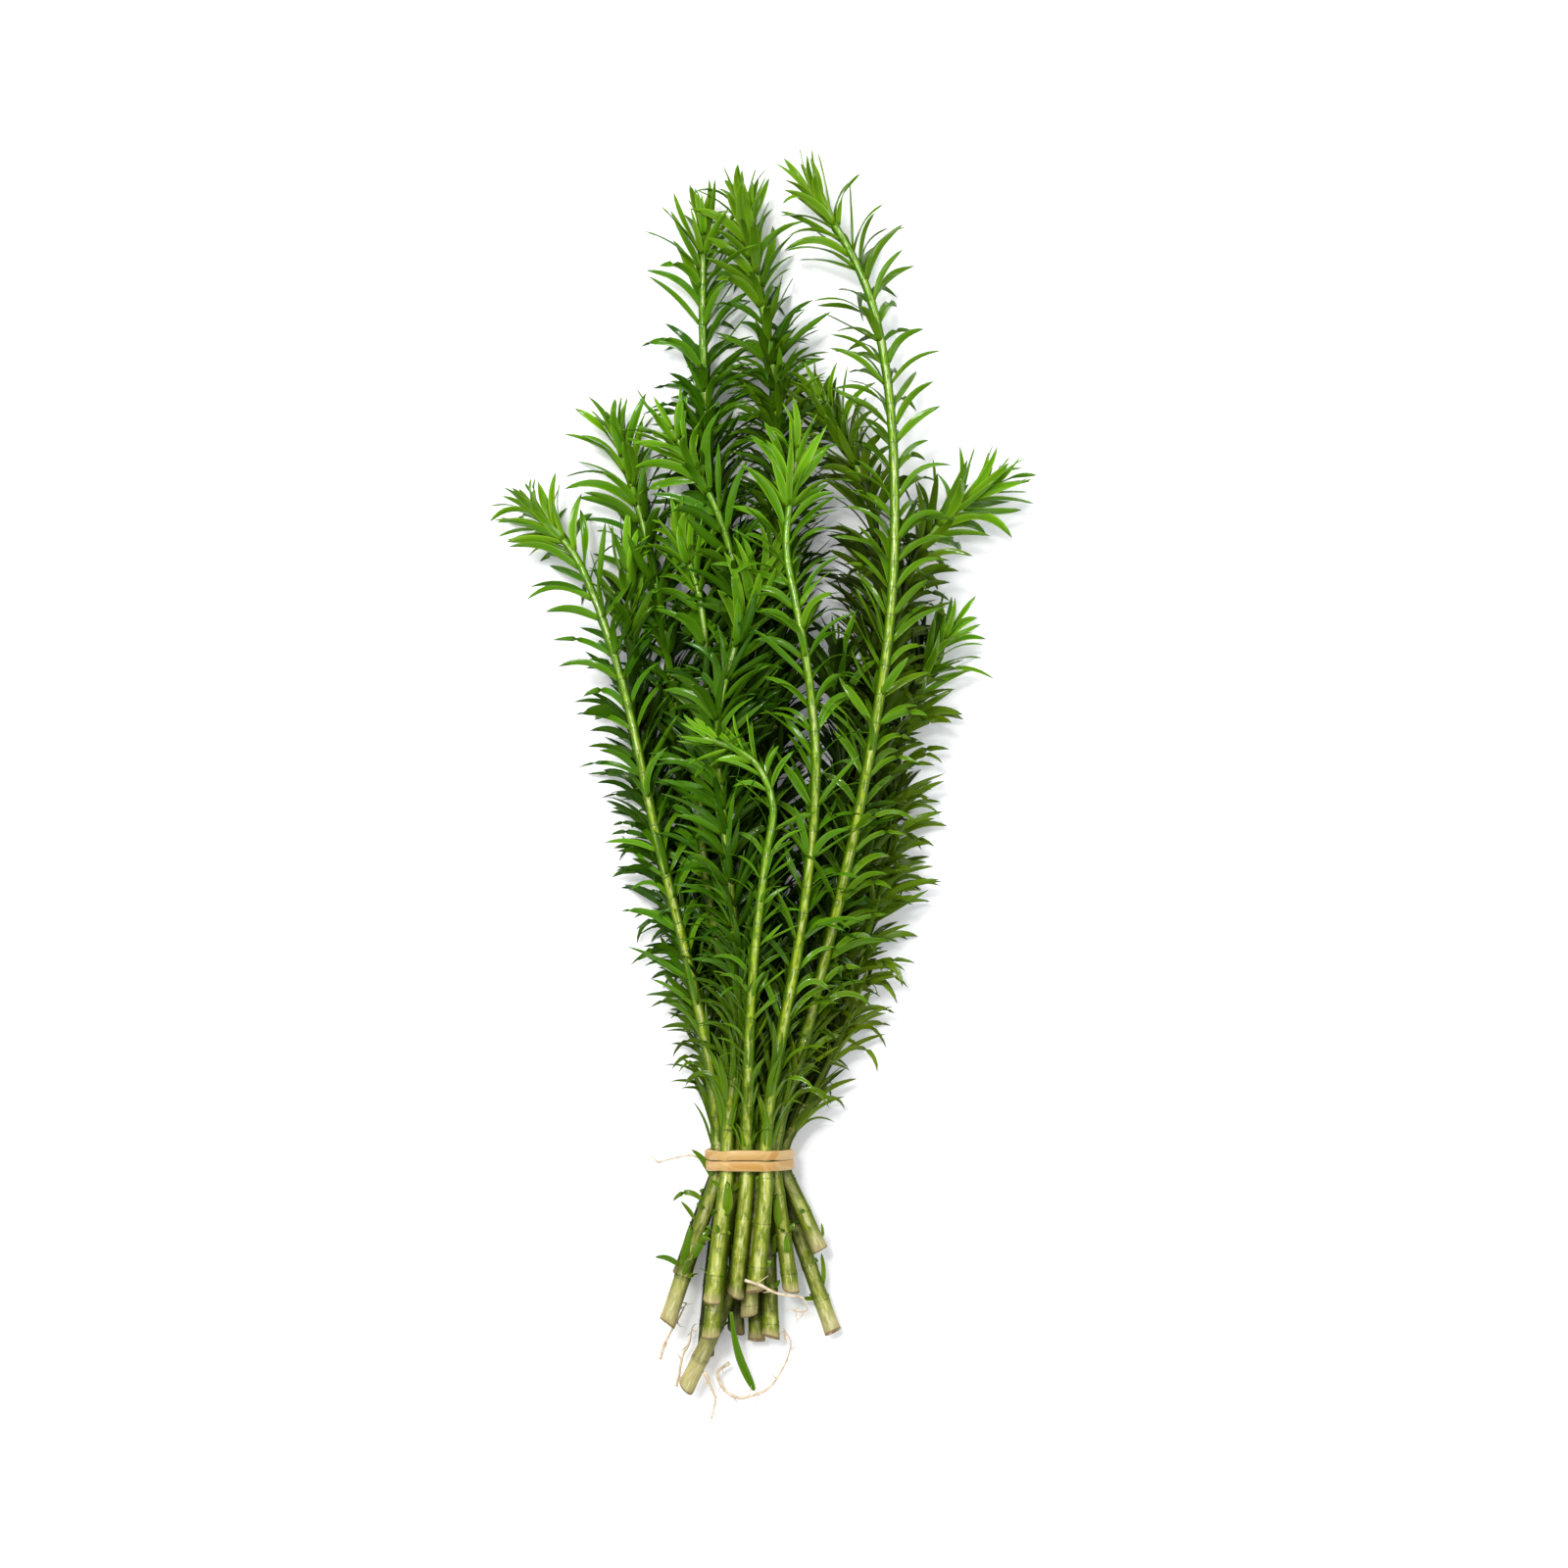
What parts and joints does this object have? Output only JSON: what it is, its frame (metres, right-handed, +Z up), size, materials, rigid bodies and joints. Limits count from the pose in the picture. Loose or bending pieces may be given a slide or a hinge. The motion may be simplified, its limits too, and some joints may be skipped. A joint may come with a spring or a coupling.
{
  "type": "tied bunch of ambulia cuttings",
  "caption": "Bunch of leafy water-plant cuttings lying on its side, held by a rubber band wound twice round the bare ends of the stems.",
  "frame": {"origin": "on the surface that the bunch lies on, under the middle of its bounding box", "axes": "+Y along the stems, from the cut ends towards the growing tips; +Z up off the surface; +X across the bunch, to the right as seen from above with the tips away"},
  "size_m": [0.1028, 0.2352, 0.038],
  "materials": {
    "stem": null,
    "leaf": null,
    "root": null,
    "band": "plain tan natural rubber, smooth, slightly translucent"
  },
  "bodies": {
    "root": {"stem_01": "stem", "stem_02": "stem", "stem_03": "stem", "stem_04": "stem", "stem_05": "stem", "stem_06": "stem", "stem_07": "stem", "stem_08": "stem", "stem_09": "stem", "stem_10": "stem", "stem_11": "stem", "stem_12": "stem", "stem_13": "stem", "stem_14": "stem", "stem_15": "stem", "leaves_01": "leaf", "leaves_02": "leaf", "leaves_03": "leaf", "leaves_04": "leaf", "leaves_05": "leaf", "leaves_06": "leaf", "leaves_07": "leaf", "leaves_08": "leaf", "leaves_09": "leaf", "leaves_10": "leaf", "leaves_11": "leaf", "leaves_12": "leaf", "leaves_13": "leaf", "leaves_14": "leaf", "leaves_15": "leaf", "root_01": "root", "root_02": "root", "root_03": "root", "root_04": "root", "root_05": "root", "rubber_band": "band", "stray_leaf": "leaf"}
  },
  "joints": []
}
